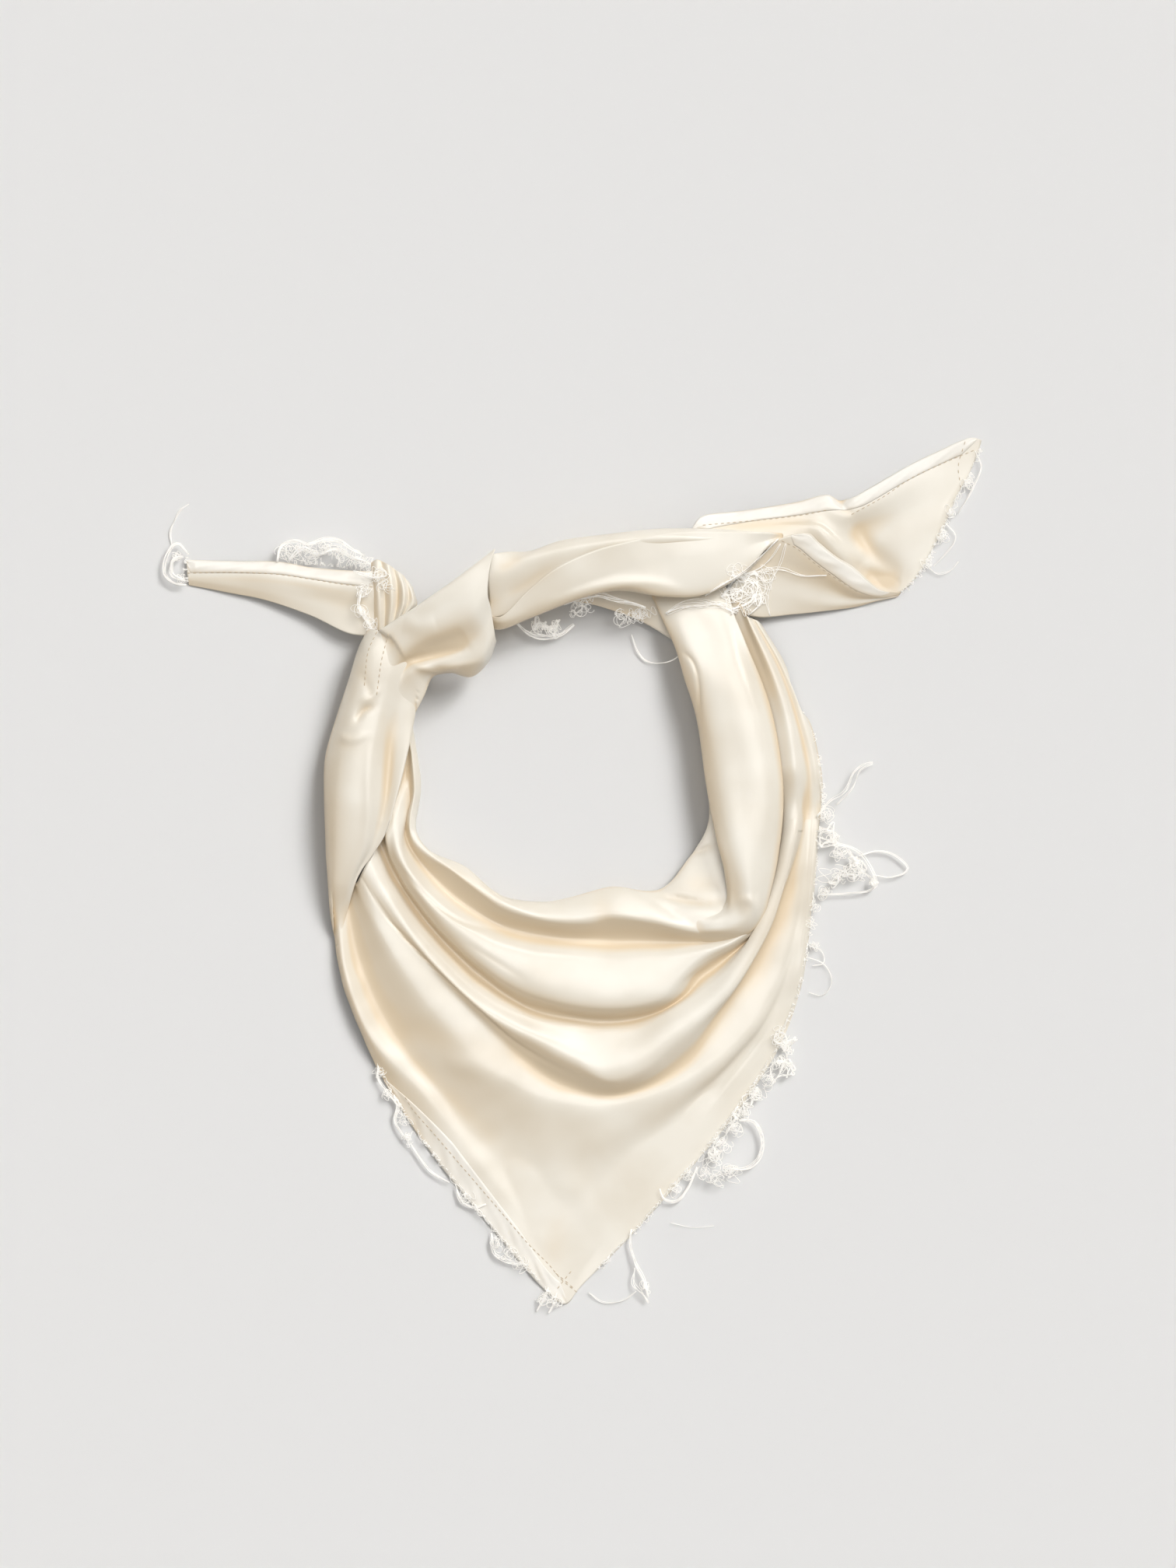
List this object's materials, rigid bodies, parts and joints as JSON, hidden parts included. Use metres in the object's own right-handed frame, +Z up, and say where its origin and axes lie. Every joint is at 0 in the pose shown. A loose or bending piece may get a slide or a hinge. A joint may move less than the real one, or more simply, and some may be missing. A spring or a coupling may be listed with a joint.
{
  "type": "silk neck scarf, laid flat with its ends crossed",
  "caption": "Ivory silk satin scarf lying flat, its ends crossed above an open neck hole, with a cowl-folded bib that ends in a point, stitched hem strips and frayed thread fringe",
  "frame": {"origin": "centre of the laid scarf's footprint, on the surface it lies on", "axes": "+Z up from the surface, +Y from the bib's point towards the crossed ends, +X towards the longer raised tail"},
  "size_m": [0.3944, 0.4116, 0.0331],
  "materials": {
    "satin": "glossy silk satin",
    "hem": "doubled silk satin with a stitched edge",
    "thread": "matt frayed silk thread"
  },
  "bodies": {
    "root": {"bib": "satin", "left_band": "satin", "right_band": "satin", "right_band_under": "satin", "knot_wrap": "satin", "cross_roll": "satin", "under_strand": "satin", "knot_pleats": "satin", "left_tail": "satin", "right_tail": "satin", "right_tail_flap": "satin", "left_tail_hem": "hem", "right_tail_hem": "hem", "flap_hem": "hem", "bib_hem": "hem", "tail_tip_fringe": "thread", "knot_fringe": "thread", "band_fringe": "thread", "net_fringe": "thread", "right_tail_fringe": "thread", "bib_right_fringe": "thread", "bib_left_fringe": "thread"}
  },
  "joints": []
}
